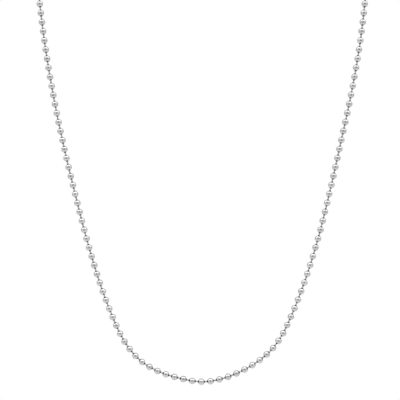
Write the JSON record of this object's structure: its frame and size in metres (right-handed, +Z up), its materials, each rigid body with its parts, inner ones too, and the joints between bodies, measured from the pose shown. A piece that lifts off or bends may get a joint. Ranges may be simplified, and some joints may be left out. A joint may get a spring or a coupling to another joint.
{
  "type": "ball chain necklace",
  "caption": "Polished metal ball chain necklace: hollow balls linked by short wire pins in one loop, closed at the nape by a snap coupling, shown as worn.",
  "frame": {"origin": "where the coupling rests on the nape, on the coupling's neck side", "axes": "+Z up, -Y to the front of the wearer, +X to the right of the picture"},
  "size_m": [0.1072, 0.101, 0.1555],
  "materials": {
    "polished_silver": "bright polished silver with a darker film round the drilled holes",
    "link_silver": "drawn silver wire, polished",
    "coupling_silver": "bent silver sheet, polished, with fine wear scratches"
  },
  "bodies": {
    "root": {"balls": "polished_silver", "link_wire": "link_silver", "coupling": "coupling_silver"}
  },
  "joints": []
}
